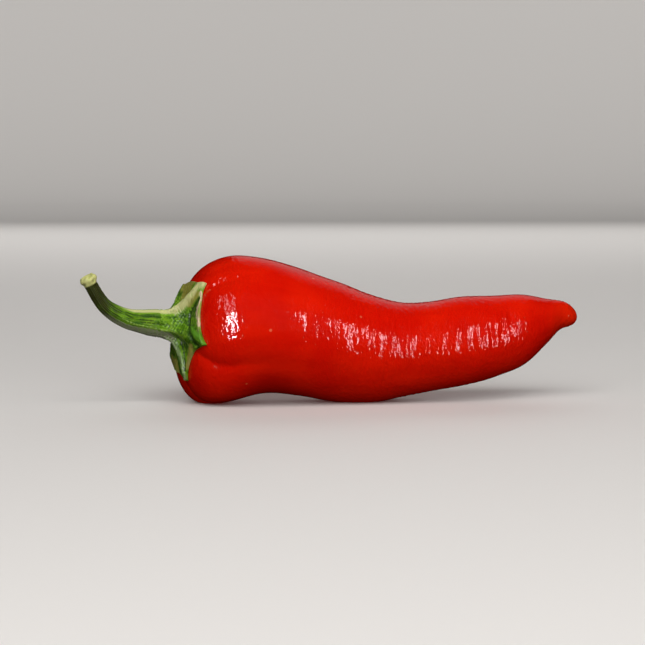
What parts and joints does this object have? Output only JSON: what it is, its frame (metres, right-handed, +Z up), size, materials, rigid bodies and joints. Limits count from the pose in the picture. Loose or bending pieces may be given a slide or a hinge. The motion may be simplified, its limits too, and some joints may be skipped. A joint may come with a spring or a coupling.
{
  "type": "red chilli pepper",
  "caption": "Ripe fresh chilli pepper lying on its side: a glossy red pod with a lobed shoulder and a curved tail, a five-pointed green calyx and a bent stalk.",
  "frame": {"origin": "on the ground under the middle of the whole pepper's box", "axes": "+X from the stalk to the pod's tip, +Y away from the side that the picture shows, +Z up"},
  "size_m": [0.1016, 0.029, 0.0298],
  "materials": {
    "ripe_skin": "gloss",
    "green_rind": "satin"
  },
  "bodies": {
    "root": {"pod": "ripe_skin", "calyx_and_stalk": "green_rind"}
  },
  "joints": []
}
